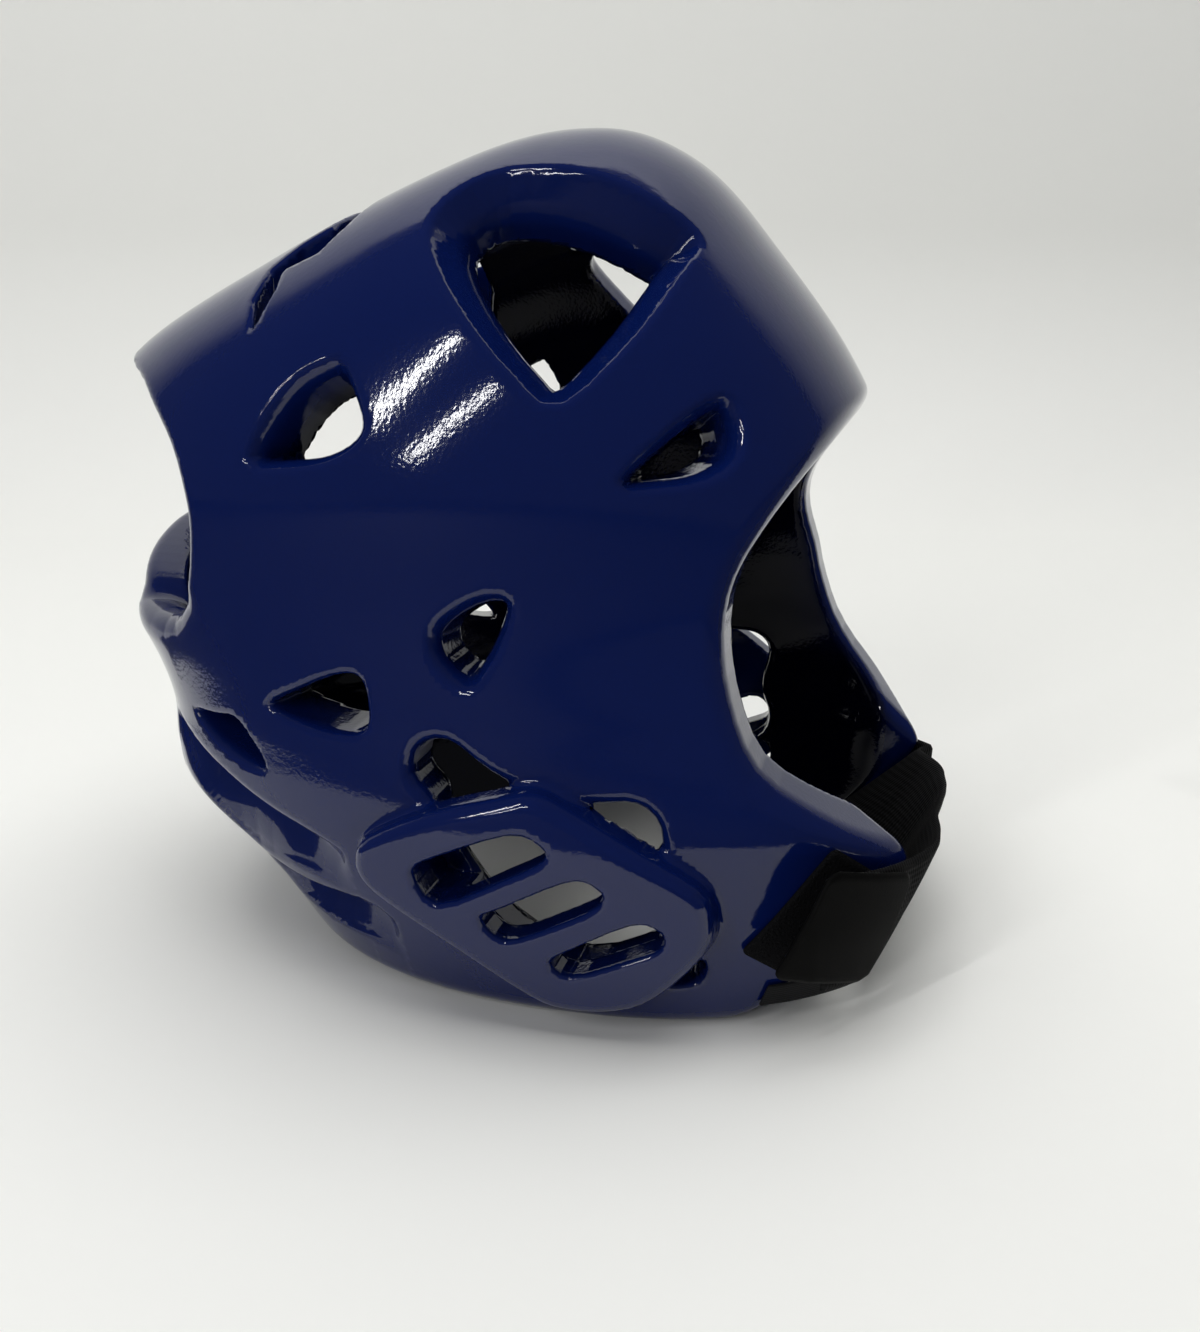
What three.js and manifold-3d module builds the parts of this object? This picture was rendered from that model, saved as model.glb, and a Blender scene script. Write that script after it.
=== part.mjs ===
import * as THREE from 'three';
import { mergeVertices } from 'three/addons/utils/BufferGeometryUtils.js';
import Module from 'manifold-3d';

// Taekwondo headgear, millimetres
// +Z up, the face opening looks toward -Y, the wearer's right side is -X

// Driving dimensions
const height = 240;
const halfLength = 130;
const halfWidth = 100;
const wall = 18;
const roundness = 2.26;
const widestLevel = 118;
const earPadRise = 8;
const scoopDepth = 7;
const webbing = 2;
const seam = 0.3;

// Sizes that follow from them
const tall = height / 240;
const long = halfLength / 130;
const wide = halfWidth / 100;

// Outer skin by level: heights in mm on a head 240 high, lengths in mm on a head 260 long
const sections = [
  { level: 0, centre: -40, front: 101, back: 100, side: 87 },
  { level: 30, centre: -33, front: 115, back: 116, side: 96 },
  { level: 60, centre: -24, front: 126, back: 125, side: 101 },
  { level: 90, centre: -11, front: 131, back: 122, side: 99 },
  { level: 118, centre: 0, front: 130, back: 128, side: 98 },
  { level: 150, centre: -3, front: 122, back: 135, side: 100 },
  { level: 180, centre: -10, front: 108, back: 130, side: 101 },
  { level: 207, centre: -20, front: 89, back: 103, side: 100 },
  { level: 228, centre: -31, front: 72, back: 84, side: 99 },
  { level: 240, centre: -35, front: 62, back: 73, side: 99 },
];

// Side view outlines, forward lengths then levels, in mm on the 240 head
const faceOutline = [
  [-175, 176], [-146, 171], [-118, 166], [-108, 156], [-97, 141], [-89, 126], [-87, 112], [-90, 95],
  [-98, 77], [-115, 63], [-131, 51], [-138.5, 45], [-138.5, 41], [-128, 30], [-116, 17], [-104, 6], [-90, -8],
  [-90, -30], [-175, -30],
];
const windowOutline = [
  [150, 184], [110, 177], [84, 173], [72, 166], [62, 156], [57, 144], [56, 134], [59, 120], [65, 111],
  [76, 105], [110, 104], [150, 104],
];
const earHoleOutline = [
  [-9, 72], [-12, 82], [-20, 84], [-31, 77], [-47, 70], [-60, 70], [-69, 70], [-75, 64], [-76, 50],
  [-80, 38], [-74, 28], [-52, 19], [-33, 29], [-11, 45], [-7, 58],
];
const earPadOutline = [
  [6, 51], [1, 58], [-16, 67], [-35, 73], [-45, 75], [-54, 71], [-69, 62], [-86, 50], [-90, 40], [-88, 30],
  [-75, 15], [-64, 9.5], [-50, 8.5], [-40, 12], [-20, 26], [-1, 38], [5, 44],
];
const padSlots = [
  [[-12, 50], [-20, 56], [-39, 64], [-47, 62], [-48, 58], [-37, 51], [-18, 41]],
  [[-30, 38], [-36, 42], [-54, 52], [-61, 51], [-62, 46], [-49, 38], [-36, 32]],
  [[-48, 26], [-54, 31], [-70, 40], [-77, 38], [-77, 33], [-67, 28], [-53, 22]],
];
const scoops = [
  [[24, 49], [32, 50.5], [44, 52], [57, 55], [74, 60], [98, 66], [98, 46], [74, 44], [60, 43], [40, 39], [24, 43]],
  [[8, 29], [22, 32], [45, 29], [66, 25], [66, 12], [37, 16], [18, 18], [8, 23]],
];

// Opening across the top rear, right half, as seen from above: side then forward lengths
const topVentHalf = [
  [0, 20], [-38, 20.5], [-56, 22], [-64.5, 26], [-64.5, 37], [-72, 35.5], [-80, 37.5], [-72, 41],
  [-60, 42], [-50, 38], [-45, 31], [-30, 29.5], [0, 29],
];

// Vents of one side: where the centre sits, then the outline around it, toward the face and up the slope
const vents = [
  {
    name: 'crown', y: -41, z: 206, flare: 4, outline: [[3, -36], [20, -18], [32, 5], [34, 12], [24, 17], [8, 23],
      [-12, 27], [-23, 22], [-28, 12], [-26, 0], [-18, -16], [-7, -30]],
  },
  { name: 'upper_rear', y: 16, z: 165, flare: 2, outline: [[-17, -10], [-8, 6], [2, 13], [8, 13], [14, 2], [13, -4], [5, -9], [-6, -11]] },
  { name: 'temple', y: -79, z: 160, flare: 2, outline: [[-18, -8], [-4, 4], [6, 10], [11, 10], [13, 3], [10, -4], [2, -8], [-8, -9]] },
  { name: 'cheekbone', y: -26, z: 109, flare: 2, outline: [[-9, 4], [-4, 9], [4, 13], [10, 12], [8, 4], [4, -4], [0, -9], [-5, -7], [-9, -2]] },
  { name: 'lower_rear_front', y: 15, z: 91, flare: 1.5, outline: [[-19, -3], [-9, 3], [2, 8], [9, 9], [12, 5], [12, -5], [5, -8], [-7, -7]] },
  { name: 'lower_rear_back', y: 50, z: 74, flare: 1.5, outline: [[-20, 4], [-7, 6], [2, 7], [8, 2], [13, -5], [8, -6], [-2, -4], [-12, -1]] },
  { name: 'ear_low', y: -80, z: 21, flare: 1, outline: [[-5, -5], [-4, 4], [4, 4], [7, 0], [5, -5]] },
];

// Black fastenings on the jaw, placed by angle round the front of the skin: 0 is straight out
// to the side and 90 is the middle of the chin
const jawLevel = 28;
const strapHalf = 18.5;
const lean = 0.2;
const chinSag = 7;

const wasm = await Module();
wasm.setup();

function toSolid(geometry) {
  const bare = geometry.clone();
  bare.deleteAttribute('normal');
  bare.deleteAttribute('uv');
  const merged = mergeVertices(bare, 1e-4);
  return new wasm.Manifold(new wasm.Mesh({
    numProp: 3,
    vertProperties: new Float32Array(merged.attributes.position.array),
    triVerts: new Uint32Array(merged.index.array),
  }));
}

function toGeometry(solid) {
  const mesh = solid.getMesh();
  const geometry = new THREE.BufferGeometry();
  geometry.setAttribute('position', new THREE.BufferAttribute(new Float32Array(mesh.vertProperties), 3));
  geometry.setIndex(new THREE.BufferAttribute(new Uint32Array(mesh.triVerts), 1));
  geometry.computeVertexNormals();
  return geometry;
}

// A column of the section table, read smoothly at any level
function read(column, z) {
  const level = THREE.MathUtils.clamp(z / tall, 0, 240);
  let i = 0;
  while (i < sections.length - 2 && sections[i + 1].level <= level) i++;
  const at = (k) => sections[THREE.MathUtils.clamp(k, 0, sections.length - 1)];
  const slope = (k) => {
    const a = at(k - 1);
    const b = at(k + 1);
    return (b[column] - a[column]) / (b.level - a.level);
  };
  const span = at(i + 1).level - at(i).level;
  const t = (level - at(i).level) / span;
  return at(i)[column] * (1 + 2 * t) * (1 - t) ** 2 + at(i + 1)[column] * t * t * (3 - 2 * t)
    + span * slope(i) * t * (1 - t) ** 2 + span * slope(i + 1) * t * t * (t - 1);
}

// A point on the skin grown outward by grow: angle 0 is the side, 90 the back, -90 the face
function skinPoint(angle, z, grow) {
  const rise = Math.max(0, (z - widestLevel * tall) / (height + grow - widestLevel * tall));
  const shrink = Math.max(0, 1 - rise ** roundness) ** (1 / roundness);
  const c = Math.cos(angle);
  const s = Math.sin(angle);
  const bend = (v) => Math.sign(v) * Math.abs(v) ** (2 / roundness);
  const reach = (s < 0 ? read('front', z) : read('back', z)) * long + grow;
  return new THREE.Vector3(
    (read('side', z) * wide + grow) * shrink * bend(c),
    read('centre', z) * long + reach * shrink * bend(s),
    z,
  );
}

// Where the skin stands on the right side at a forward place and level
function rightSide(y, z, grow = 0) {
  const rise = Math.max(0, (z - widestLevel * tall) / (height + grow - widestLevel * tall));
  const off = y - read('centre', z) * long;
  const reach = (off < 0 ? read('front', z) : read('back', z)) * long + grow;
  const left = 1 - rise ** roundness - Math.abs(off / reach) ** roundness;
  return -(read('side', z) * wide + grow) * Math.max(left, 0) ** (1 / roundness);
}

// A closed solid between rings of points, with flat ends
function ringSolid(given) {
  const plan = given[0].map((p) => p.flat ?? new THREE.Vector2(p.x, p.y));
  const clockwise = THREE.ShapeUtils.area(plan) < 0;
  const rings = clockwise ? given.map((ring) => [...ring].reverse()) : given;
  if (clockwise) plan.reverse();
  const around = plan.length;
  const last = (rings.length - 1) * around;
  const index = [];
  for (let j = 0; j < rings.length - 1; j++) {
    for (let i = 0; i < around; i++) {
      const a = j * around + i;
      const b = j * around + (i + 1) % around;
      index.push(a, b, a + around, b, b + around, a + around);
    }
  }
  for (const [a, b, c] of THREE.ShapeUtils.triangulateShape(plan, [])) {
    index.push(a, c, b, last + a, last + b, last + c);
  }
  const geometry = new THREE.BufferGeometry();
  geometry.setAttribute('position', new THREE.Float32BufferAttribute(rings.flat().flatMap((p) => [p.x, p.y, p.z]), 3));
  geometry.setIndex(index);
  const solid = toSolid(geometry);
  return solid.volume() < 0 ? ringSolid([...given].reverse()) : solid;
}

// The whole head form, filled, grown outward by grow and closed flat at level floor
function headForm(grow, floor, around, lower, upper) {
  const rings = [];
  const ring = (z) => Array.from({ length: around }, (_, i) => skinPoint((i / around) * 2 * Math.PI, z, grow));
  const base = widestLevel * tall;
  for (let j = 0; j < lower; j++) rings.push(ring(floor + (base - floor) * (j / lower)));
  for (let j = 0; j <= upper; j++) {
    const lift = Math.sin((j / upper) * 0.49 * Math.PI) ** (2 / roundness);
    rings.push(ring(base + (height + grow - base) * lift));
  }
  return ringSolid(rings);
}

// Outlines scaled to the head, and rounded through their points
function sized(points) {
  return points.map(([a, b]) => new THREE.Vector2(a * long, b * tall));
}

function rounded(points, steps = 2) {
  const curve = new THREE.SplineCurve([...points.slice(-3), ...points, ...points.slice(0, 3)]);
  const whole = points.length + 5;
  return Array.from({ length: points.length * steps }, (_, i) => curve.getPoint((3 + i / steps) / whole));
}

// A side view outline pushed through from one side place to another
function sideways(outline, from, to) {
  const shape = new THREE.Shape(outline);
  const geometry = new THREE.ExtrudeGeometry(shape, { depth: to - from, bevelEnabled: false });
  geometry.applyMatrix4(new THREE.Matrix4().makeBasis(
    new THREE.Vector3(0, 1, 0), new THREE.Vector3(0, 0, 1), new THREE.Vector3(1, 0, 0),
  ));
  geometry.translate(from, 0, 0);
  return toSolid(geometry);
}

function mirror(solid) {
  return solid.mirror([1, 0, 0]);
}

// A vent cutter: a flared throat square to the skin at its centre
function ventCutter({ y, z, flare, outline }) {
  const py = y * long;
  const pz = z * tall;
  const at = new THREE.Vector3(rightSide(py, pz), py, pz);
  const step = 2;
  const across = new THREE.Vector3(rightSide(py + step, pz) - at.x, step, 0);
  const along = new THREE.Vector3(rightSide(py, pz + step) - at.x, 0, step);
  const normal = new THREE.Vector3().crossVectors(along, across).normalize();
  if (normal.x > 0) normal.negate();
  const forward = new THREE.Vector3(0, 0, 1).cross(normal).normalize();
  if (forward.y > 0) forward.negate();
  const up = new THREE.Vector3().crossVectors(normal, forward).normalize();
  if (up.z < 0) up.negate();
  const points = rounded(outline.map(([u, v]) => new THREE.Vector2(u * tall, v * tall)));
  const size = Math.sqrt(Math.abs(THREE.ShapeUtils.area(points)));
  const stations = [[14, 1 + (3.4 * flare) / size], [0, 1 + (1.6 * flare) / size], [-flare * 1.5, 1], [-wall - 16, 0.9]];
  const rings = stations.map(([out, grow]) => points.map((p) => {
    const v = at.clone().addScaledVector(normal, out).addScaledVector(forward, p.x * grow).addScaledVector(up, p.y * grow);
    v.flat = p;
    return v;
  }));
  return ringSolid(rings);
}

// The hollow form with its three big openings
function openHead() {
  const face = sideways(rounded(sized(faceOutline)), -160, 160);
  let window = sideways(rounded(sized(windowOutline)), -160, 160);
  const lobe = new THREE.ExtrudeGeometry(
    new THREE.Shape(sized([[-32, 98], [-26, 107], [-12, 120], [0, 122], [12, 120], [26, 107], [32, 98]])),
    { depth: 120, bevelEnabled: false },
  );
  lobe.rotateX(Math.PI / 2);
  lobe.translate(0, 180, 0);
  window = window.subtract(toSolid(lobe));
  const chin = sideways(sized([[-170, -20], [-170, 80], [-96, 80], [-96, -20]]), -46 * wide, 46 * wide);
  return headForm(0, 0, 64, 8, 12)
    .subtract(headForm(-wall, -20, 44, 6, 8))
    .subtract(face)
    .subtract(window)
    .subtract(chin);
}

function topVent() {
  const half = topVentHalf.map(([x, y]) => new THREE.Vector2(x * wide, y * long));
  const whole = [...half, ...half.slice(1, -1).reverse().map((p) => new THREE.Vector2(-p.x, p.y))];
  const geometry = new THREE.ExtrudeGeometry(new THREE.Shape(whole), { depth: 100 * tall, bevelEnabled: false });
  geometry.translate(0, 0, 160 * tall);
  return toSolid(geometry);
}

// The raised ear cover of the right side
function earPad() {
  const outline = rounded(sized(earPadOutline));
  return headForm(earPadRise, -4, 64, 8, 3)
    .intersect(sideways(outline, -160, -40))
    .subtract(headForm(-3, -20, 64, 8, 3));
}

function earSlots() {
  return padSlots.map((slot) => sideways(rounded(sized(slot)), -160, -40));
}

// Side scoops: shallow steps cut into the skin
function scoopCuts() {
  const core = headForm(-scoopDepth, -20, 64, 8, 3);
  return scoops.map((outline) => sideways(sized(outline), -160, -20).subtract(core));
}

function shellGeometry() {
  let solid = openHead().subtract(topVent());
  const cuts = [...vents.map(ventCutter), sideways(rounded(sized(earHoleOutline)), -160, -40), ...scoopCuts()];
  for (const cut of cuts) solid = solid.subtract(cut).subtract(mirror(cut));
  const pad = earPad();
  solid = solid.add(pad).add(mirror(pad));
  for (const slot of earSlots()) solid = solid.subtract(slot).subtract(mirror(slot));
  return toGeometry(solid);
}

// A curved plate on the skin of the jaw: from and to are angles round the front
function jawPlate({ from, to, low, high, gap, thick, sag = 0, steps = 8, leaning = lean }) {
  const rise = 3;
  const point = (i, j, grow) => {
    const t = i / steps;
    const z = (low + (high - low) * (j / rise)) * tall;
    const middle = (low + high) / 2;
    const degrees = from + (to - from) * t;
    const shear = leaning * (z / tall - middle) * Math.cos(THREE.MathUtils.degToRad(degrees));
    const angle = THREE.MathUtils.degToRad(degrees + shear);
    const dip = sag * THREE.MathUtils.smoothstep(Math.sin(angle), 0.95, 0.995);
    const p = skinPoint(-angle, z, grow - dip);
    return p;
  };
  const near = [];
  const far = [];
  for (let i = 0; i <= steps; i++) {
    near.push(Array.from({ length: rise + 1 }, (_, j) => point(i, j, gap)));
    far.push(Array.from({ length: rise + 1 }, (_, j) => point(i, j, gap + thick)));
  }
  const position = [];
  for (const row of [...near, ...far]) for (const p of row) position.push(-p.x, p.y, p.z);
  const width = rise + 1;
  const half = (steps + 1) * width;
  const index = [];
  const quad = (a, b, c, d) => index.push(a, c, b, a, d, c);
  for (let i = 0; i < steps; i++) {
    for (let j = 0; j < rise; j++) {
      const a = i * width + j;
      quad(a, a + width, a + width + 1, a + 1);
      quad(half + a, half + a + 1, half + a + width + 1, half + a + width);
    }
    const b = i * width;
    quad(b, half + b, half + b + width, b + width);
    const t = b + rise;
    quad(t, t + width, half + t + width, half + t);
  }
  for (let j = 0; j < rise; j++) {
    quad(j, j + 1, half + j + 1, half + j);
    const e = steps * width + j;
    quad(e, half + e, half + e + 1, e + 1);
  }
  const geometry = new THREE.BufferGeometry();
  geometry.setAttribute('position', new THREE.Float32BufferAttribute(position, 3));
  geometry.setIndex(index);
  geometry.computeVertexNormals();
  return geometry;
}

const materials = {
  foam: new THREE.MeshStandardMaterial({ color: 0x0a1f70, roughness: 0.25, metalness: 0 }),
  loop: new THREE.MeshStandardMaterial({ color: 0x0b0b0c, roughness: 0.95, metalness: 0 }),
  webbing: new THREE.MeshStandardMaterial({ color: 0x080808, roughness: 0.85, metalness: 0 }),
  panel: new THREE.MeshStandardMaterial({ color: 0x0a0a0b, roughness: 0.7, metalness: 0 }),
  label: new THREE.MeshStandardMaterial({ color: 0x0c0c0d, roughness: 0.6, metalness: 0 }),
};

const group = new THREE.Group();

function place(name, geometry, material) {
  const mesh = new THREE.Mesh(geometry, material.clone());
  mesh.name = name;
  group.add(mesh);
  return mesh;
}

const under = jawLevel - strapHalf;
const over = jawLevel + strapHalf;
const first = seam;
const second = first + 1.5 + seam;
const third = second + webbing + seam;

place('shell', shellGeometry(), materials.foam);
place('loop_patch', jawPlate({ from: 30, to: 63, low: under + 2, high: over + 8, gap: first, thick: 1.5 }), materials.loop);
place('chin_strap', jawPlate({ from: 39, to: 148, low: under, high: over, gap: second, thick: webbing, sag: chinSag, steps: 32 }), materials.webbing);
place('closure_tab', jawPlate({ from: 35, to: 66, low: under - 0.5, high: over + 0.5, gap: third, thick: 1.8 }), materials.panel);
place('size_tab', jawPlate({ from: 33, to: 62, low: under - 8, high: under + 1.5, gap: first, thick: 1.2 }), materials.label);
place('strap_anchor', jawPlate({ from: 122, to: 152, low: under + 2, high: over + 2, gap: first, thick: 1.5, leaning: 0 }), materials.loop);

// The base middle of the whole piece is the origin
const box = new THREE.Box3().setFromObject(group);
const middle = box.getCenter(new THREE.Vector3());
for (const mesh of group.children) mesh.position.set(-middle.x, -middle.y, -box.min.z);

export default group;
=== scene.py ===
import bpy
import numpy as np
from mathutils import Matrix, Vector


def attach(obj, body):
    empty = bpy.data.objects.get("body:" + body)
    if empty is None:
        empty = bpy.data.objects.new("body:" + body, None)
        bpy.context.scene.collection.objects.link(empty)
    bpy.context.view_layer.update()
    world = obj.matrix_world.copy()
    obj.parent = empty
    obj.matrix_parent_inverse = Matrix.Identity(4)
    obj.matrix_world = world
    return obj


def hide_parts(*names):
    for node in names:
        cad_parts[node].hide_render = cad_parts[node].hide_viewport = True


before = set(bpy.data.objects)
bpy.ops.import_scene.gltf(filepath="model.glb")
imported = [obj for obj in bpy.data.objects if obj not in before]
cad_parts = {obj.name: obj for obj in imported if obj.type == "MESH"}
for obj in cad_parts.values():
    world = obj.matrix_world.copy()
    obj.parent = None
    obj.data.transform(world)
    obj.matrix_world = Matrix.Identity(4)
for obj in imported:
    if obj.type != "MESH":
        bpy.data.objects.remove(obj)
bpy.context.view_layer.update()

# Camera
# It stands at the wearer's right, a little in front, and looks down on the guard from about
# a hand above the table's far edge. The lens is a phone's main lens.

CAMERA_PLACE = (-0.3798, -0.1288, 0.1974)
CAMERA_TURN = np.radians(15.5)
CAMERA_DROP = np.radians(17.0)

eye = bpy.data.objects.new("camera", bpy.data.cameras.new("camera"))
bpy.context.scene.collection.objects.link(eye)
eye.data.sensor_width = 36.0
eye.data.lens = 33.78
eye.data.clip_start = 0.01
eye.location = CAMERA_PLACE
eye.rotation_euler = (np.pi / 2 - CAMERA_DROP, 0.0, CAMERA_TURN - np.pi / 2)
bpy.context.scene.camera = eye

# Shell
# The head guard itself: one moulded piece of closed cell foam, dipped in glossy blue vinyl
# inside and out, so every rim and every vent mouth is rounded over by the coat. The ear
# covers and the steps round the nape are part of the same moulding.

FOAM = 18.0            # wall, mm
HEIGHT = 240.0
WIDEST = 118.0         # level of the widest section
ROUND = 2.26           # how square the sections are: 2 is an ellipse
FORWARD = 10.06        # the moulding's own middle lies this far in front of the frame's
EAR_RISE = 8.0
# level, centre, reach to the front, reach to the back, half width
SECTIONS = np.array([
    (0, -40, 101, 100, 87), (30, -33, 115, 115, 96), (48, -27.5, 122, 131, 99.5),
    (60, -24, 126, 130, 101), (75, -17.5, 129, 123, 100.3), (90, -11, 131, 122, 99),
    (118, 0, 130, 128, 98), (150, -3, 122, 135, 100), (180, -10, 108, 130, 101),
    (207, -20, 89, 103, 100), (228, -31, 72, 84, 99), (240, -35, 62, 73, 99)], float)
# Side view outlines: forward place, level
FACE = [(-175, 176), (-146, 171), (-118, 166), (-108, 156), (-97, 141), (-89, 126), (-87, 112), (-90, 95),
        (-98, 77), (-115, 63), (-131, 51), (-138.5, 45), (-138.5, 41), (-128, 30), (-116, 17), (-104, 6),
        (-90, -8), (-90, -30), (-175, -30)]
WINDOW = [(150, 184), (110, 177), (84, 173), (72, 166), (62, 156), (57, 144), (56, 134), (59, 120), (65, 111),
          (76, 105), (110, 104), (150, 104)]
EAR_HOLE = [(-10, 74), (-12, 82), (-20, 84), (-31, 77), (-47, 70), (-60, 70), (-69, 70), (-75, 64), (-76, 50),
            (-80, 38), (-74, 28), (-52, 19), (-33, 29), (-20, 47), (-16.5, 60), (-15, 68)]
EAR_PAD = [(6, 51), (1, 58), (-16, 67), (-35, 73), (-45, 75), (-54, 71), (-69, 62), (-86, 50), (-90, 40),
           (-88, 30), (-75, 15), (-64, 9.5), (-50, 8.5), (-40, 12), (-20, 26), (-1, 38), (5, 44)]
EAR_SLOTS = [[(-12, 50), (-20, 56), (-39, 64), (-47, 62), (-48, 58), (-37, 51), (-18, 41)],
             [(-30, 38), (-36, 42), (-54, 52), (-61, 51), (-62, 46), (-49, 38), (-36, 32)],
             [(-48, 26), (-54, 31), (-70, 40), (-77, 38), (-77, 33), (-67, 28), (-53, 22)]]
# Steps round the nape: their full depth and how much the ledge slopes, then forward place, level
# of the lip, level where the floor meets the skin again, share of the full depth at the lip
STEP_DEPTH, STEP_DRAFT = 14.0, 0.4
NAPE_STEPS = [
    np.array([(12, 46, 30, 0), (20, 50, 33, 0.4), (28, 53, 35, 0.8), (36, 55.5, 36, 1), (45, 58.5, 34, 1),
              (52, 61, 34, 1), (58, 63, 37, 1), (66, 65.5, 43, 0.85), (74, 68, 50, 0.5), (86, 71, 55, 0)]),
    np.array([(0, 24, 10, 0), (6, 29, 13, 0.45), (12, 30.5, 14.5, 0.8), (20, 30.5, 15, 1), (28, 30, 15.5, 1),
              (36, 30, 17, 0.8), (44, 30.5, 18, 0.4), (52, 31, 18, 0)])]
# The tongue in the rear window: side place and level, then its wall, and how far its face lies
# inside the skin at some levels
TONGUE = [(-52, 84), (-53, 99), (-51, 104), (-46, 109), (-35, 114.5), (-21, 119.5), (-7, 123), (7, 123),
          (21, 119.5), (35, 114.5), (46, 109), (51, 104), (53, 99), (52, 84)]
TONGUE_WALL = 20.0
LEAN_LEVELS, LEAN_DEPTHS = (84, 92, 104, 130), (6, 4, 6, 17.7)
SPREAD = 9.0           # how far the far cheek is sprung forward
CHIN_HALF, CHIN_BACK = 46.0, -96.0     # the gap between the cheeks under the chin
VENT_REACH = 62.0      # no vent's cut reaches further than this from its middle
CELL = 1.55            # mesh size, mm
# Opening over the top, seen from above: side, forward place
TOP_VENT = [(0, 20), (-38, 20.5), (-56, 22), (-64.5, 26), (-64.5, 37), (-72, 35.5), (-80, 37.5), (-72, 41),
            (-60, 42), (-50, 38), (-45, 31), (-30, 29.5), (0, 29), (0, 24)]
# Vents of one side: forward place, level, rounding, then the dish round the mouth: how far it
# runs past the outline, its slope, and the throat's start and slope, then the outline toward the
# face and up the slope. The last one is the small gap at the foot of the ear cover
VENTS = [
    (-41, 206, 1.1, (3.4, 0.85, 1.6, 0.34),
     [(3, -36), (20, -18), (32, 5), (34, 12), (24, 17), (8, 23), (-12, 27), (-23, 22), (-28, 12),
      (-26, 0), (-18, -16), (-7, -30)]),
    (16, 165, 1.0, (1.6, 0.8, 0.6, 0.18),
     [(-17, -10), (-8, 6), (2, 13), (8, 13), (14, 2), (13, -4), (5, -9), (-6, -11)]),
    (-79, 160, 1.0, (1.6, 0.8, 0.6, 0.18),
     [(-18, -8), (-4, 4), (6, 10), (11, 10), (13, 3), (10, -4), (2, -8), (-8, -9)]),
    (-26, 109, 1.0, (1.8, 0.8, 0.6, 0.10),
     [(-9, 4), (-4, 9), (4, 13), (10, 12), (8, 4), (4, -4), (0, -9), (-5, -7), (-9, -2)]),
    (15, 91, 0.9, (0.8, 0.7, 0.2, 0.06),
     [(-19, -3), (-9, 3), (2, 8), (9, 9), (12, 5), (12, -5), (5, -8), (-7, -7)]),
    (50, 74, 0.9, (0.8, 0.7, 0.2, 0.04),
     [(-20, 4), (-7, 6), (2, 7), (8, 2), (13, -5), (8, -6), (-2, -4), (-12, -1)]),
    (-80, 21, 1.2, (0.8, 0.6, 0.0, 0.02), [(-5, -5), (-4, 4), (4, 4), (7, 0), (5, -5)])]


def read(column, level):
    """A column of the section table at any level: cubic pieces whose slope at each row is the
    slope between that row's two neighbours."""
    rows, values = SECTIONS[:, 0], SECTIONS[:, column]
    slope = np.empty(len(rows))
    slope[1:-1] = (values[2:] - values[:-2]) / (rows[2:] - rows[:-2])
    slope[0], slope[-1] = np.diff(values)[[0, -1]] / np.diff(rows)[[0, -1]]
    level = np.clip(level, rows[0], rows[-1])
    i = np.clip(np.searchsorted(rows, level, side="right") - 1, 0, len(rows) - 2)
    span = rows[i + 1] - rows[i]
    t = (level - rows[i]) / span
    return (values[i] * (1 + 2 * t) * (1 - t) ** 2 + values[i + 1] * t * t * (3 - 2 * t)
            + span * slope[i] * t * (1 - t) ** 2 - span * slope[i + 1] * t * t * (1 - t))


def skin(p, grow):
    """Distance in mm outside the head form grown by grow: its sections are superellipses, and
    above the widest level the rise is a third term of the same power."""
    y, z = p[..., 1] - read(1, p[..., 2]), p[..., 2]
    reach = np.where(y < 0, read(2, z), read(3, z)) + grow
    side, rise = read(4, z) + grow, HEIGHT + grow - WIDEST
    a, b, c = np.abs(p[..., 0]) / side, np.abs(y) / reach, np.clip(z - WIDEST, 0, None) / rise
    q = np.maximum((a ** ROUND + b ** ROUND + c ** ROUND) ** (1 / ROUND), 0.05)
    k = ROUND - 1
    steep = np.sqrt((a ** k / side) ** 2 + (b ** k / reach) ** 2 + (c ** k / rise) ** 2) / q ** k
    return (q - 1) / np.maximum(steep, 1e-4)


def on_side(y, z, grow=0.0):
    """Where the grown head form's right side stands at a forward place and level: the section's
    formula solved for the side."""
    off = y - read(1, z)
    reach = np.where(off < 0, read(2, z), read(3, z)) + grow
    rise = np.clip(z - WIDEST, 0, None) / (HEIGHT + grow - WIDEST)
    left = np.clip(1 - rise ** ROUND - np.abs(off / reach) ** ROUND, 0, None)
    return -(read(4, z) + grow) * left ** (1 / ROUND)


def at_rear(x, z):
    """Where the head form stands behind the head at a side place and level, by the same formula."""
    rise = np.clip(z - WIDEST, 0, None) / (HEIGHT - WIDEST)
    left = np.clip(1 - rise ** ROUND - np.abs(x / read(4, z)) ** ROUND, 0, None)
    return read(1, z) + read(3, z) * left ** (1 / ROUND)


def ease(v, start, end):
    """0 before start, 1 after end, and the cubic 3t^2 - 2t^3 between."""
    t = np.clip((v - start) / (end - start), 0, 1)
    return t * t * (3 - 2 * t)


def smooth(points, steps=3):
    """A closed curve through the points: each stretch is the cubic whose end slopes join the
    neighbours on either side (Catmull and Rom's rule)."""
    p = np.array(points, float)
    a, b, c, d = np.roll(p, 1, 0), p, np.roll(p, -1, 0), np.roll(p, -2, 0)
    t = (np.arange(steps) / steps)[None, :, None]
    a, b, c, d = (v[:, None, :] for v in (a, b, c, d))
    curve = 0.5 * (2 * b + (c - a) * t + (2 * a - 5 * b + 4 * c - d) * t ** 2
                   + (3 * b - a - 3 * c + d) * t ** 3)
    return curve.reshape(-1, 2)


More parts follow.
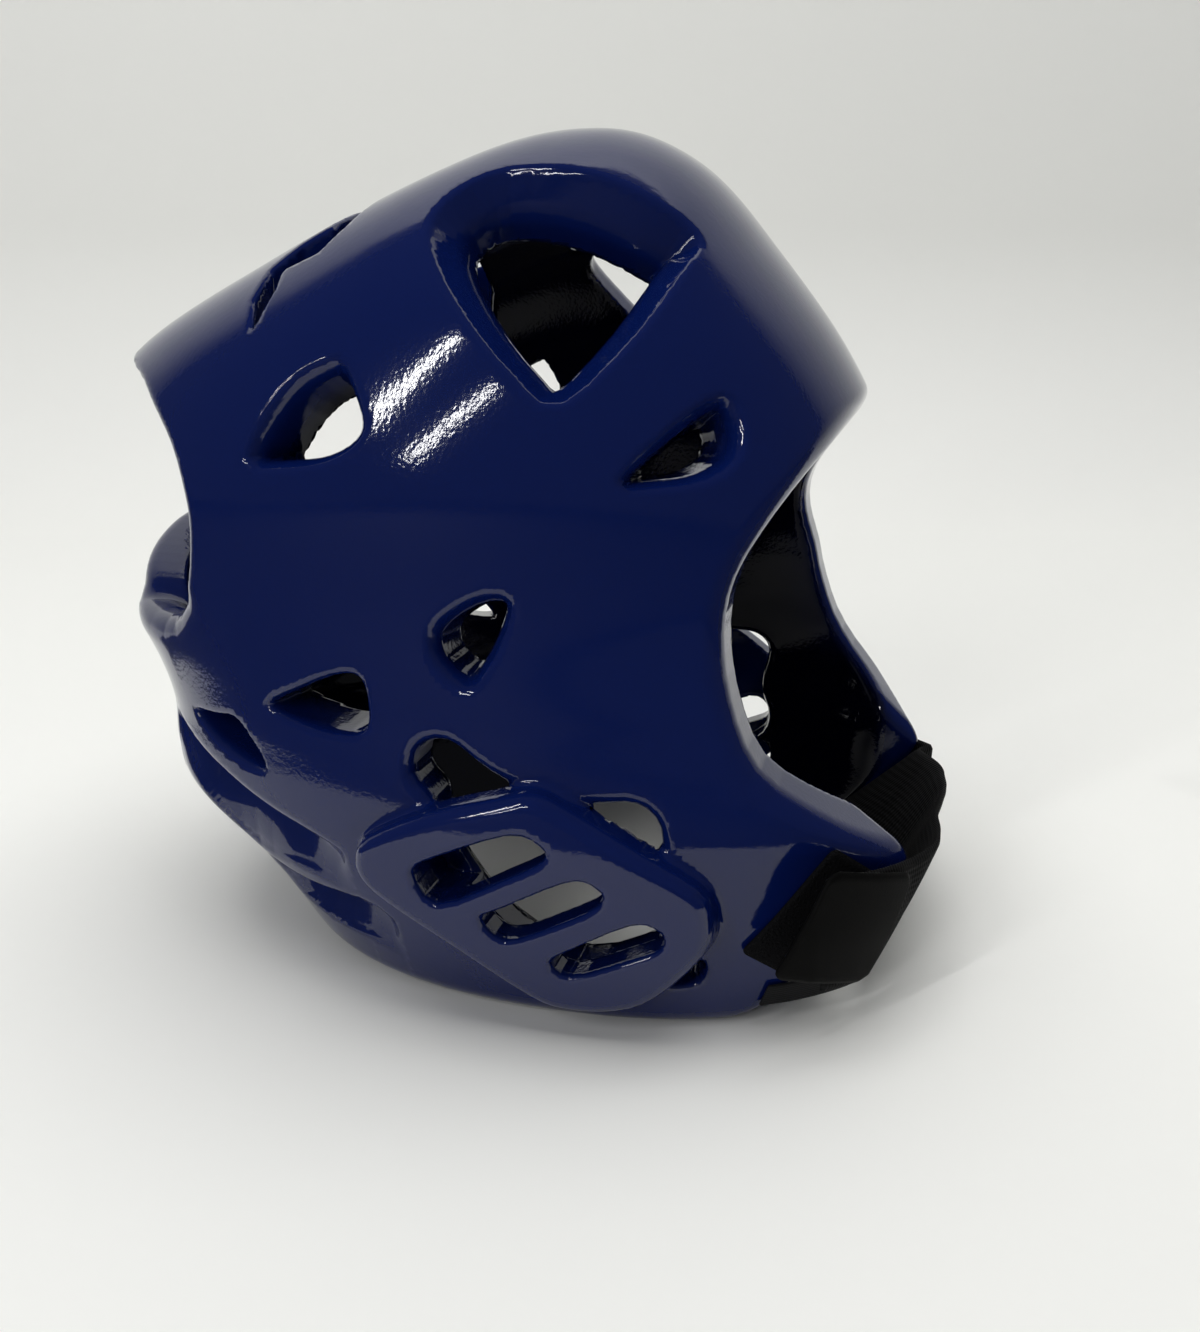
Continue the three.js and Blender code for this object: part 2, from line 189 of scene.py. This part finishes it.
def inside(u, v, loop):
    """Signed distance from a closed outline, negative inside: the least distance to any edge,
    with its sign from how often a line to the right crosses the outline."""
    near, odd = np.full(u.shape, 1e9), np.zeros(u.shape, bool)
    for (ax, ay), (bx, by) in zip(loop, np.roll(loop, -1, 0)):
        ex, ey, wx, wy = bx - ax, by - ay, u - ax, v - ay
        t = np.clip((wx * ex + wy * ey) / (ex * ex + ey * ey), 0, 1)
        near = np.minimum(near, (wx - ex * t) ** 2 + (wy - ey * t) ** 2)
        if ey != 0:
            odd ^= ((ay > v) != (by > v)) & (u < ax + (v - ay) * ex / ey)
    return np.where(odd, -1, 1) * np.sqrt(near)


def meet(a, b, r):
    """The part in both fields, its edge rounded to radius r: near the edge the distance is from
    a circle's centre r inside each."""
    return np.minimum(np.maximum(a, b), -r) + np.hypot(np.maximum(a + r, 0), np.maximum(b + r, 0))


def join(a, b, r):
    """The part in either field, with a fillet of radius r between them."""
    return -meet(-a, -b, r)


FACE_LOOP, WINDOW_LOOP, HOLE_LOOP, PAD_LOOP, TONGUE_LOOP = (
    smooth(o) for o in (FACE, WINDOW, EAR_HOLE, EAR_PAD, TONGUE))
SLOT_LOOPS = [smooth(o) for o in EAR_SLOTS]
TOP_LOOP = np.array(TOP_VENT, float)


def vent_frame(y, z):
    """The vent's own axes: out of the skin, toward the face along it, and up the slope, from the
    skin's rise over 2 mm each way."""
    at = np.array([on_side(y, z), y, z])
    across = np.array([on_side(y + 2, z) - at[0], 2, 0])
    along = np.array([on_side(y, z + 2) - at[0], 0, 2])
    out = np.cross(along, across)
    out *= -np.sign(out[0]) / np.linalg.norm(out)
    ahead = np.cross([0, 0, 1], out)
    ahead *= -np.sign(ahead[1]) / np.linalg.norm(ahead)
    up = np.cross(out, ahead)
    return at, out, ahead, up * np.sign(up[2])


VENT_SHAPES = [(*vent_frame(y, z), r, dish, smooth(o)) for y, z, r, dish, o in VENTS]


def shell_field(p):
    """Distance in mm outside the finished moulding: the wall between two head forms, then each
    opening cut with its rounding, and the ear covers joined on. One side is worked out, and the
    other is its mirror."""
    z = p[:, 2]
    sprung = ease(p[:, 0], 15, 60) * ease(-p[:, 1], 40, 100) * ease(z, 45, 80) * ease(-z, -140, -105)
    x, y = -np.abs(p[:, 0]), p[:, 1] + SPREAD * sprung
    p = np.stack([x, y, z], 1)
    out = skin(p, 0.0)
    f = np.maximum(out, -skin(p, -FOAM))
    f = meet(f, -inside(y, z, FACE_LOOP), 5.0)
    chin = np.maximum(np.maximum(-x - CHIN_HALF, y - CHIN_BACK), z - 80)
    f = meet(f, -chin, 5.0)
    back = (y > 40) & (z > 80) & (z < 200)
    xb, yb, zb = x[back], y[back], z[back]
    round_over = 3.5 + 4.5 * ease(-zb, -120, -110)
    f[back] = meet(f[back], -inside(yb, zb, WINDOW_LOOP), round_over)
    face = yb - at_rear(xb, zb) + np.interp(zb, LEAN_LEVELS, LEAN_DEPTHS)
    tongue = meet(meet(face, -face - TONGUE_WALL, 5.0), inside(xb, zb, TONGUE_LOOP), 6.0)
    f[back] = join(f[back], tongue, 3.0)
    top = z > 170
    f[top] = meet(f[top], -inside(x[top], y[top], TOP_LOOP), 2.0)
    low = (z < 100) & (y > -110) & (y < 40)
    f[low] = meet(f[low], -inside(y[low], z[low], HOLE_LOOP), 4.0)
    for at, normal, ahead, up, r, (past, slope, start, taper), loop in VENT_SHAPES:
        q = p - at
        near = np.einsum("ij,ij->i", q, q) < VENT_REACH ** 2
        q = q[near]
        deep = -out[near]
        edge = inside(q @ ahead, q @ up, loop)
        throat = (edge + start + taper * deep) / np.hypot(1, taper)
        bowl = (edge - past + slope * deep) / np.hypot(1, slope)
        open_to = q @ normal > -FOAM - 14
        cut = meet(meet(f[near], -bowl, r), -throat, r)
        f[near] = np.where(open_to, cut, f[near])
    for rows in NAPE_STEPS:
        zone = (y > rows[0, 0]) & (y < rows[-1, 0]) & (z < 80)
        lip, foot, share = (np.interp(y[zone], rows[:, 0], rows[:, k]) for k in (1, 2, 3))
        up = share * np.clip((z[zone] - foot) / (lip - foot), 0, 1)
        fall = STEP_DEPTH * up - 2.0 * ease(-up, -0.15, 0)
        ledge = (z[zone] - lip - STEP_DRAFT * out[zone]) / np.hypot(1, STEP_DRAFT)
        cut = meet(ledge, -out[zone] - fall, 2.0)
        f[zone] = meet(f[zone], -cut, 3.0)
    pad = meet(out[low] - EAR_RISE, inside(y[low], z[low], PAD_LOOP), 4.0)
    f[low] = join(f[low], np.maximum(pad, -(out[low] + 3)), 2.0)
    for loop in SLOT_LOOPS:
        slot = np.maximum(inside(y[low], z[low], loop), -out[low] - 12)
        f[low] = meet(f[low], -slot, 2.0)
    return meet(f, -z, 6.0)


def wrap(field, low, high, step):
    """A closed mesh on a field's zero: cells that hold a change of sign get one corner at the
    mean of their edge crossings, and each crossed grid edge gets the face between its cells."""
    axes = [np.arange(a, b + step, step) for a, b in zip(low, high)]
    grid = np.stack(np.meshgrid(*axes, indexing="ij"), -1)
    shape = grid.shape[:3]
    points = grid.reshape(-1, 3)
    rough = np.maximum(skin(points, EAR_RISE), -skin(points, -FOAM))
    close = np.abs(rough + 13) < 18
    f = np.where(rough > 0, rough + 1, np.maximum(rough, 2.0))
    f[close] = field(points[close])
    f = f.reshape(shape)
    f[f == 0] = 1e-6
    total, count = np.zeros((*[s - 1 for s in shape], 3)), np.zeros([s - 1 for s in shape])
    for axis in range(3):
        a = f[tuple(slice(0, -1) if k == axis else slice(None) for k in range(3))]
        b = f[tuple(slice(1, None) if k == axis else slice(None) for k in range(3))]
        crossed = (a < 0) != (b < 0)
        t = np.where(crossed, a / np.where(crossed, a - b, 1), 0)
        place = grid[tuple(slice(0, -1) if k == axis else slice(None) for k in range(3))].copy()
        place[..., axis] += t * step
        others = [k for k in range(3) if k != axis]
        for i in (0, 1):
            for j in (0, 1):
                cut = [slice(None)] * 3
                cut[others[0]] = slice(i, shape[others[0]] - 1 + i)
                cut[others[1]] = slice(j, shape[others[1]] - 1 + j)
                here = crossed[tuple(cut)]
                total += np.where(here[..., None], place[tuple(cut)], 0)
                count += here
    used = count > 0
    number = np.full(used.shape, -1)
    number[used] = np.arange(used.sum())
    corners = total[used] / count[used][:, None]
    faces = []
    for axis in range(3):
        u, v = (axis + 1) % 3, (axis + 2) % 3
        a = f[tuple(slice(0, -1) if k == axis else slice(1, -1) for k in range(3))]
        b = f[tuple(slice(1, None) if k == axis else slice(1, -1) for k in range(3))]
        hit = np.argwhere((a < 0) != (b < 0))
        leave = (a < 0)[tuple(hit.T)]
        cell = hit.copy()
        cell[:, u] += 1
        cell[:, v] += 1
        quad = []
        for du, dv in ((1, 1), (0, 1), (0, 0), (1, 0)):
            c = cell.copy()
            c[:, u] -= du
            c[:, v] -= dv
            quad.append(number[tuple(c.T)])
        quad = np.stack(quad, 1)
        faces.append(np.where(leave[:, None], quad, quad[:, ::-1]))
    return corners, np.concatenate(faces)


def steepness(field, p, h=0.35):
    """The field's slope at each point, from its change over h either way along each axis."""
    e = np.eye(3) * h
    return np.stack([(field(p + e[k]) - field(p - e[k])) / (2 * h) for k in range(3)], 1)


def settle(field, p, rounds=2):
    """Moves points onto the field's zero, down its slope by its value, and gives their normals."""
    for _ in range(rounds):
        g = steepness(field, p)
        length = np.maximum((g ** 2).sum(1), 0.25)
        move = g * (field(p) / length)[:, None]
        far = np.maximum(np.linalg.norm(move, axis=1) / 0.8, 1)
        p = p - move / far[:, None]
    g = steepness(field, p, 0.5)
    return p, g / np.maximum(np.linalg.norm(g, axis=1), 1e-6)[:, None]


def make(name, corners, faces, normals=None):
    """A mesh object in the frame's metres from corners in the moulding's mm and lists of faces."""
    mesh = bpy.data.meshes.new(name)
    place = (np.asarray(corners, float) + [0, FORWARD, 0]) / 1000
    mesh.from_pydata(place.tolist(), [], np.asarray(faces).tolist())
    mesh.polygons.foreach_set("use_smooth", np.ones(len(mesh.polygons), bool))
    if normals is not None:
        mesh.normals_split_custom_set_from_vertices(normals.tolist())
    mesh.update()
    piece = bpy.data.objects.new(name, mesh)
    bpy.context.scene.collection.objects.link(piece)
    return piece


def finish(name, color, rough):
    """A material with its shader's colour and roughness set, and its nodes at hand."""
    material = bpy.data.materials.new(name)
    material.use_nodes = True
    shader = material.node_tree.nodes["Principled BSDF"]
    shader.inputs["Base Color"].default_value = (*color, 1)
    shader.inputs["Roughness"].default_value = rough
    return material, material.node_tree, shader


def bumped(tree, shader, height, strength, distance):
    """Puts a height socket through a bump onto the shader's normal."""
    bump = tree.nodes.new("ShaderNodeBump")
    bump.inputs["Strength"].default_value = strength
    bump.inputs["Distance"].default_value = distance
    tree.links.new(height, bump.inputs["Height"])
    tree.links.new(bump.outputs["Normal"], shader.inputs["Normal"])


def grain(tree, scale, detail=2.0):
    """Noise fixed to the piece, with scale in repeats per metre."""
    where = tree.nodes.new("ShaderNodeTexCoord")
    noise = tree.nodes.new("ShaderNodeTexNoise")
    noise.inputs["Scale"].default_value = scale
    noise.inputs["Detail"].default_value = detail
    tree.links.new(where.outputs["Object"], noise.inputs["Vector"])
    return noise.outputs["Fac"]


corners, faces = wrap(shell_field, (-113, -146, -5), (113, 138, 244), CELL)
corners, normals = settle(shell_field, corners)
shell = make("shell_foam", corners, faces, normals)

# Base colour per corner: the vinyl's own blue outside, and near-black painted shade on inner faces deep in
# the hollow, standing in for the shadow inside the guard
OUTSIDE, INNER_SHADE = np.array((0.0018, 0.0075, 0.066)), np.array((0.0008, 0.001, 0.006))
outward = corners - [0.0, -15.0, 100.0]
facing_in = -(normals * outward).sum(1) / np.linalg.norm(outward, axis=1)
coat_and_inner_shade = OUTSIDE + (INNER_SHADE - OUTSIDE) * (ease(facing_in, 0.0, 0.35) * ease(-skin(corners, 0.0), 9, 16))[:, None]
colour = shell.data.color_attributes.new("coat_and_inner_shade", "FLOAT_COLOR", "POINT")
colour.data.foreach_set("color", np.hstack([coat_and_inner_shade, np.ones((len(coat_and_inner_shade), 1))]).ravel().astype(np.float32))
vinyl, tree, shader = finish("dipped_vinyl", OUTSIDE, 0.07)
# The attribute carries the blue and the painted inner shade into the vinyl's base colour
tint = tree.nodes.new("ShaderNodeAttribute")
tint.attribute_name = "coat_and_inner_shade"
tree.links.new(tint.outputs["Color"], shader.inputs["Base Color"])
bumped(tree, shader, grain(tree, 800.0), 0.11, 0.0003)
shell.data.materials.append(vinyl)
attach(shell, "root")
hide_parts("shell")

# Loop patch
# The soft half of the hook and loop fastening: a knitted pile patch glued and sewn on the
# right cheek. Only the strip that shows past the strap's panel is made.

JAW_LEVEL = 28.0       # level of the strap's middle line
STRAP_HALF = 18.5      # half its width
GAP = 0.3              # air between one layer and the next
PILE = 1.5             # the patch's thickness


def plate(name, start, end, low, high, gap, thick, lean=0.0, droop=0.0, lift=0.0, rise=0.0, sink=0.0,
          corner=2.5, across=64, up=24, edge=0.6, crossing=None):
    """A thin curved piece on the jaw: across it runs by angle round the front of the head form,
    up it by level. Its edge is half an oval of its own thickness and its corners are quarter
    circles. lean turns its ends and droop its long edges. lift and rise move its near end out and
    up by a straight ramp that ends at 60 degrees, and sink lowers its far end. crossing gives how
    far forward the piece may stand where it runs free from cheek to cheek."""
    t = np.linspace(0, 1, across + 1)
    if crossing is None:
        t = 0.5 - 0.5 * np.cos(np.pi * t)
    ring = np.concatenate([np.linspace(0, 1, up + 1), np.linspace(1, 0, up + 1)])
    face = np.concatenate([np.ones(up + 1), np.zeros(up + 1)])
    s, r = np.meshgrid(t, ring, indexing="ij")
    layer = np.broadcast_to(face, s.shape)
    long = np.radians(end - start) * 100
    height = high - low
    cut = np.clip(1 - np.minimum(s, 1 - s) * long / corner, 0, 1)
    inset = corner * (1 - np.sqrt(1 - cut ** 2))
    level = inset + (height - 2 * inset) * r
    to_edge = np.minimum(np.minimum(s, 1 - s) * long, np.minimum(r, 1 - r) * height)
    half = 0.5 * thick * np.sqrt(np.clip(1 - (1 - np.clip(to_edge / edge, 0, 1)) ** 2, 0.04, 1))
    degrees = start + (end - start) * s + lean * (level - height / 2)
    near = np.clip((60 - degrees) / 22, 0, 1)
    z = low + level + droop * (0.5 - s) + rise * near - sink * ease(degrees, 98, 126)
    angle = np.radians(degrees)
    bend = lambda v: np.sign(v) * np.abs(v) ** (2 / ROUND)

    def stand(grow):
        return np.stack([-(read(4, z) + grow) * bend(np.cos(angle)),
                         read(1, z) - (read(2, z) + grow) * bend(np.sin(angle)), z], -1)

    middle = gap + 0.5 * thick + lift * near
    p = stand(middle + np.where(layer > 0.5, half, -half))
    if crossing is not None:
        centre = stand(middle)
        over = crossing(centre[..., 0], z) - centre[..., 1]
        p[..., 1] += 0.5 * (over + np.sqrt(over ** 2 + 1.5 ** 2))
    n = len(ring)
    i, j = np.meshgrid(np.arange(across), np.arange(n), indexing="ij")
    a, b = i * n + j, i * n + (j + 1) % n
    sides = np.stack([a, a + n, b + n, b], -1).reshape(-1, 4)
    k = np.arange(up)
    first = np.stack([k, k + 1, n - 2 - k, n - 1 - k], -1)
    last = first[:, ::-1] + across * n
    piece = make(name, p.reshape(-1, 3), np.concatenate([sides, first, last]))
    weave = piece.data.uv_layers.new(name="weave")
    at = np.empty(len(piece.data.loops), int)
    piece.data.loops.foreach_get("vertex_index", at)
    uv = np.stack([(s * long).ravel()[at], level.ravel()[at]], 1) / 1000
    weave.data.foreach_set("uv", uv.ravel().astype(np.float32))
    return piece


UNDER, OVER = JAW_LEVEL - STRAP_HALF, JAW_LEVEL + STRAP_HALF
patch = plate("loop_patch_pile", 37.5, 45.5, 22, 50.5, GAP, PILE, lean=0.53, droop=11.0, corner=1.5)
pile, tree, shader = finish("knitted_pile", (0.006, 0.006, 0.007), 0.95)
shader.inputs["Specular IOR Level"].default_value = 0.05
bumped(tree, shader, grain(tree, 1400.0, 6.0), 1.0, 0.0015)
patch.data.materials.append(pile)
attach(patch, "root")
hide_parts("loop_patch")

# Chin strap
# Black woven elastic, 37 mm wide and 2 mm thick. It is sewn to the left cheek, crosses in
# front of the chin and laps over the patch on the right cheek.

STRAP = 2.0
END_LIFT, END_RISE, FAR_SINK = 6.0, 6.0, 6.0
CROSS_REACH, CROSS_SLOPE, FAR_SLOPE, FAR_SAG = 145.3, 0.5, 0.6, 6.0


def crossing(x, z):
    """How far forward the strap stands between the cheeks: its foot is drawn in by a straight slope
    that is steeper on the far half, the far half sags in, and two soft waves run down it."""
    slope = (CROSS_SLOPE + FAR_SLOPE * ease(x, -5, 30)) * (1 - ease(x, 36, 48))
    waves = 1.2 * np.exp(-((x + 22) / 8) ** 2) - 1.0 * np.exp(-((x - 1) / 8) ** 2)
    sag = FAR_SAG * ease(x, 12, 36) * ease(-x, -58, -42)
    return -CROSS_REACH + sag + slope * (OVER - z) + waves


strap = plate("chin_strap_webbing", 41, 148, UNDER, OVER, GAP * 2 + PILE, STRAP, lift=END_LIFT,
              rise=END_RISE, sink=FAR_SINK, corner=0.5, across=180, crossing=crossing)


def woven(name, color, rough, pitch, strength=0.6):
    """Ribs along the piece and finer picks across them, as two waves on its own map."""
    material, tree, shader = finish(name, color, rough)
    where = tree.nodes.new("ShaderNodeUVMap")
    where.uv_map = "weave"
    split = tree.nodes.new("ShaderNodeSeparateXYZ")
    tree.links.new(where.outputs["UV"], split.inputs["Vector"])
    waves = []
    for socket, rate in (("X", pitch), ("Y", pitch * 0.62)):
        turn = tree.nodes.new("ShaderNodeMath")
        turn.operation = "MULTIPLY"
        turn.inputs[1].default_value = rate * 2 * np.pi
        tree.links.new(split.outputs[socket], turn.inputs[0])
        wave = tree.nodes.new("ShaderNodeMath")
        wave.operation = "SINE"
        tree.links.new(turn.outputs[0], wave.inputs[0])
        waves.append(wave.outputs[0])
    total = tree.nodes.new("ShaderNodeMath")
    total.operation = "ADD"
    for i, w in enumerate(waves):
        tree.links.new(w, total.inputs[i])
    bumped(tree, shader, total.outputs[0], strength, 0.0003)
    shader.inputs["Specular IOR Level"].default_value = 0.12
    return material


strap.data.materials.append(woven("woven_elastic", (0.006, 0.006, 0.0065), 0.8, 900.0))
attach(strap, "root")
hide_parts("chin_strap")

# Closure panel
# The strap's free end carries a matt moulded panel with its hooks underneath. It is bare here.

panel = plate("closure_tab_panel", 36.5, 53.5, 19.5, 49.7, GAP * 3 + PILE + STRAP, 1.8, lean=0.3, droop=10.4,
              lift=END_LIFT, corner=3.0)
matt, tree, shader = finish("matt_panel", (0.003, 0.003, 0.003), 0.5)
shader.inputs["Specular IOR Level"].default_value = 0.03
bumped(tree, shader, grain(tree, 2500.0), 0.25, 0.0003)
panel.data.materials.append(matt)
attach(panel, "root")
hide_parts("closure_tab")

# Size tab
# A folded woven label stitched below the panel, at the cheek's bottom edge. It is bare here.

tab = plate("size_tab_label", 34, 52, 7.0, 14.2, GAP, 1.2, lean=0.2, corner=0.8)
tab.data.materials.append(woven("woven_label", (0.008, 0.008, 0.009), 0.6, 2200.0, 0.3))
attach(tab, "root")
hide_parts("size_tab")

# Strap anchor
# The woven patch on the left cheek that the strap's fixed end is sewn through.

anchor = plate("strap_anchor_patch", 122, 152, UNDER - 4, OVER - 4, GAP, PILE)
anchor.data.materials.append(woven("anchor_weave", (0.006, 0.006, 0.007), 0.85, 1200.0))
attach(anchor, "root")
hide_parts("strap_anchor")

# Table, wall and light
# A white table top that meets a pale wall in a soft sweep, and office tubes overhead.


def sweep():
    """The table runs back level from behind the camera, turns up on a quarter circle and goes on
    as the wall: one profile pushed along its width."""
    turn = np.array([np.cos(CAMERA_TURN), np.sin(CAMERA_TURN)])
    side = np.array([-turn[1], turn[0]])
    bend = np.linspace(0, np.pi / 2, 24)
    reach, radius = 0.62, 0.25
    away = np.concatenate([[-2.5, -1.0, 0.0], reach + radius * np.sin(bend), [reach + radius]])
    level = np.concatenate([[0, 0, 0], radius * (1 - np.cos(bend)), [3.0]])
    width = np.linspace(-3, 3, 9)
    a, w = np.meshgrid(away, width, indexing="ij")
    z = np.repeat(level[:, None], len(width), 1)
    p = np.stack([a * turn[0] + w * side[0], a * turn[1] + w * side[1], z], -1)
    n = len(width)
    i, j = np.meshgrid(np.arange(len(away) - 1), np.arange(n - 1), indexing="ij")
    c = i * n + j
    quads = np.stack([c, c + n, c + n + 1, c + 1], -1).reshape(-1, 4)
    return make("table_and_wall", p.reshape(-1, 3) * 1000 - [0, FORWARD, 0], quads)


stage = sweep()
paint, tree, shader = finish("pale_paint", (0.86, 0.86, 0.83), 0.6)
stage.data.materials.append(paint)


def shade():
    """Painted shade in the shiny shell's reflection of the table: a dark flat ring sector just over the table
    top on the camera's side that only mirrors show, while the camera still sees the bright table."""
    turn = CAMERA_TURN + np.pi + np.linspace(-1.9, 1.9, 40)
    a, r = np.meshgrid(turn, np.array([0.27, 0.5, 1.0, 3.0]), indexing="ij")
    p = np.stack([r * np.cos(a), r * np.sin(a), np.full(a.shape, 0.0005)], -1).reshape(-1, 3)
    i, j = np.meshgrid(np.arange(39), np.arange(3), indexing="ij")
    c = i * 4 + j
    quads = np.stack([c, c + 1, c + 5, c + 4], -1).reshape(-1, 4)
    card = make("shade_reflection_card", p * 1000 - [0, FORWARD, 0], quads)
    for ray in ("camera", "diffuse", "shadow", "transmission"):
        setattr(card, "visible_" + ray, False)
    return card


dim = shade()
# Its dark grey is painted shade, seen only in reflections
dim_paint, tree, shader = finish("shade_reflection_card", (0.05, 0.05, 0.055), 0.8)
dim.data.materials.append(dim_paint)


def lamp(name, start, end, width, power, aim=(-0.09, 0.0, 0.17), gloss=True):
    """A soft rectangular light in metres: its long middle line runs from start to end and its face
    looks at aim. Without gloss it lights the room but isn't seen in a shiny surface."""
    a, b = Vector(start), Vector(end)
    light = bpy.data.lights.new(name, "AREA")
    light.shape = "RECTANGLE"
    light.size, light.size_y = width, (b - a).length
    light.energy = power
    holder = bpy.data.objects.new(name, light)
    bpy.context.scene.collection.objects.link(holder)
    middle = (a + b) / 2
    long = (b - a).normalized()
    side = long.cross(middle - Vector(aim)).normalized()
    turn = Matrix((side, long, side.cross(long))).transposed().to_4x4()
    holder.matrix_world = Matrix.Translation(middle) @ turn
    holder.visible_glossy = gloss


lamp("ceiling", (0.25, -1.3, 2.3), (0.25, 1.3, 2.3), 2.6, 64, aim=(0.05, 0.0, 0.0), gloss=False)
lamp("tube_one", (-1.69, 0.90, 0.66), (-1.33, 0.50, 1.52), 0.05, 8)
lamp("tube_two", (-1.86, 0.67, 0.44), (-1.75, 0.10, 1.10), 0.04, 5)
world = bpy.data.worlds.new("room")
bpy.context.scene.world = world
world.use_nodes = True
world.node_tree.nodes["Background"].inputs["Color"].default_value = (0.5, 0.52, 0.55, 1)
world.node_tree.nodes["Background"].inputs["Strength"].default_value = 0.15
bpy.context.scene.view_settings.view_transform = "Standard"
